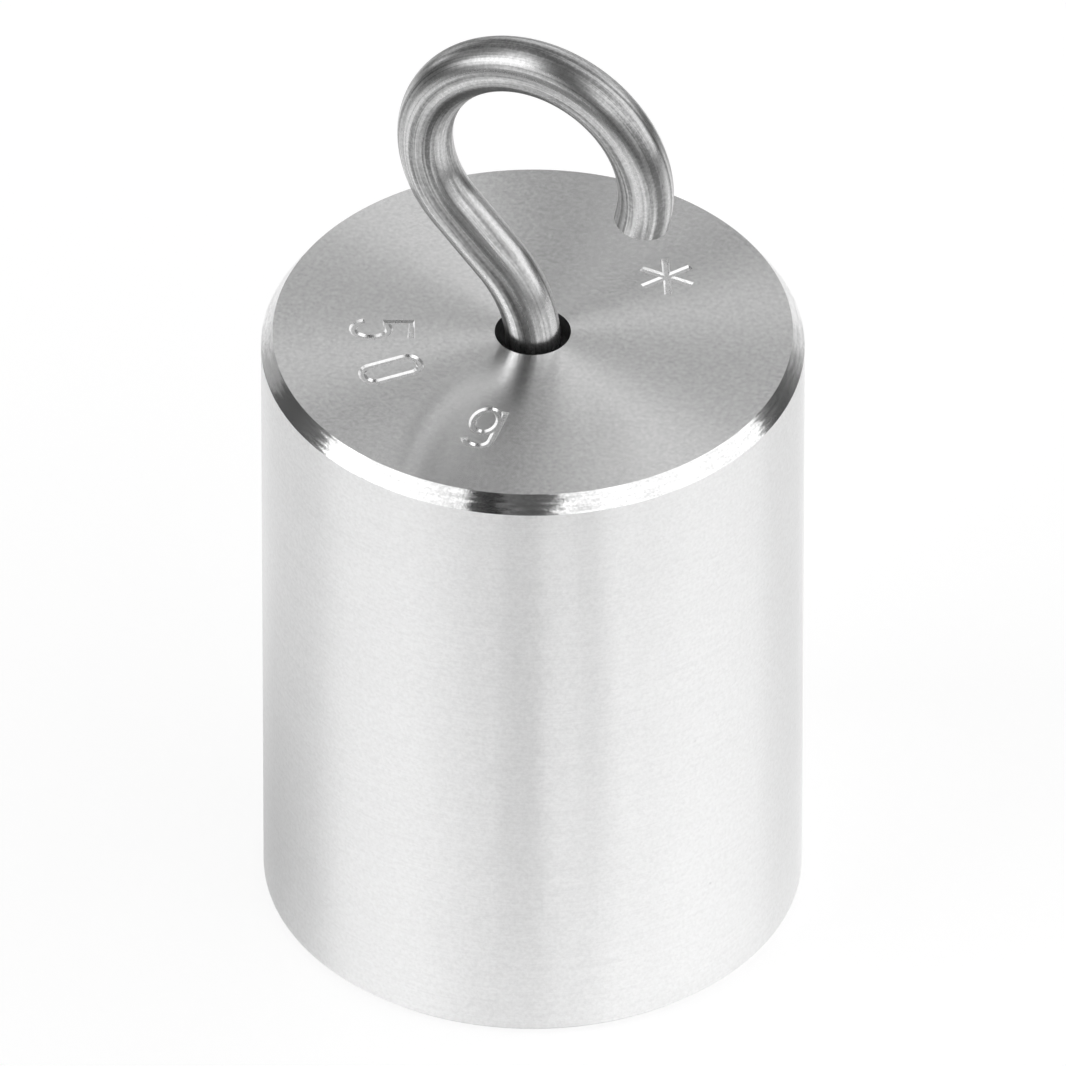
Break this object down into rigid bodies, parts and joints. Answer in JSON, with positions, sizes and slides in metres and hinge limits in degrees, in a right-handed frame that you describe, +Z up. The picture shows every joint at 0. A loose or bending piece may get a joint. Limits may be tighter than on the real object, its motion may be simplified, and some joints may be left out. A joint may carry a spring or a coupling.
{
  "type": "calibration weight",
  "caption": "Hooked test weight: turned steel cylinder with a bevelled top edge and a bent wire hook set in its centre bore.",
  "frame": {"origin": "centre of the body's flat base, on the body's axis", "axes": "+Z up along the body's axis, the hook lies in the XZ plane with its tip towards +X"},
  "size_m": [0.0186, 0.0186, 0.0357],
  "materials": {
    "turned_steel": "fine turned stainless steel, bright bevel",
    "drawn_wire": "drawn stainless wire, satin with fine lengthwise streaks"
  },
  "bodies": {
    "root": {"body": "turned_steel", "hook": "drawn_wire"}
  },
  "joints": []
}
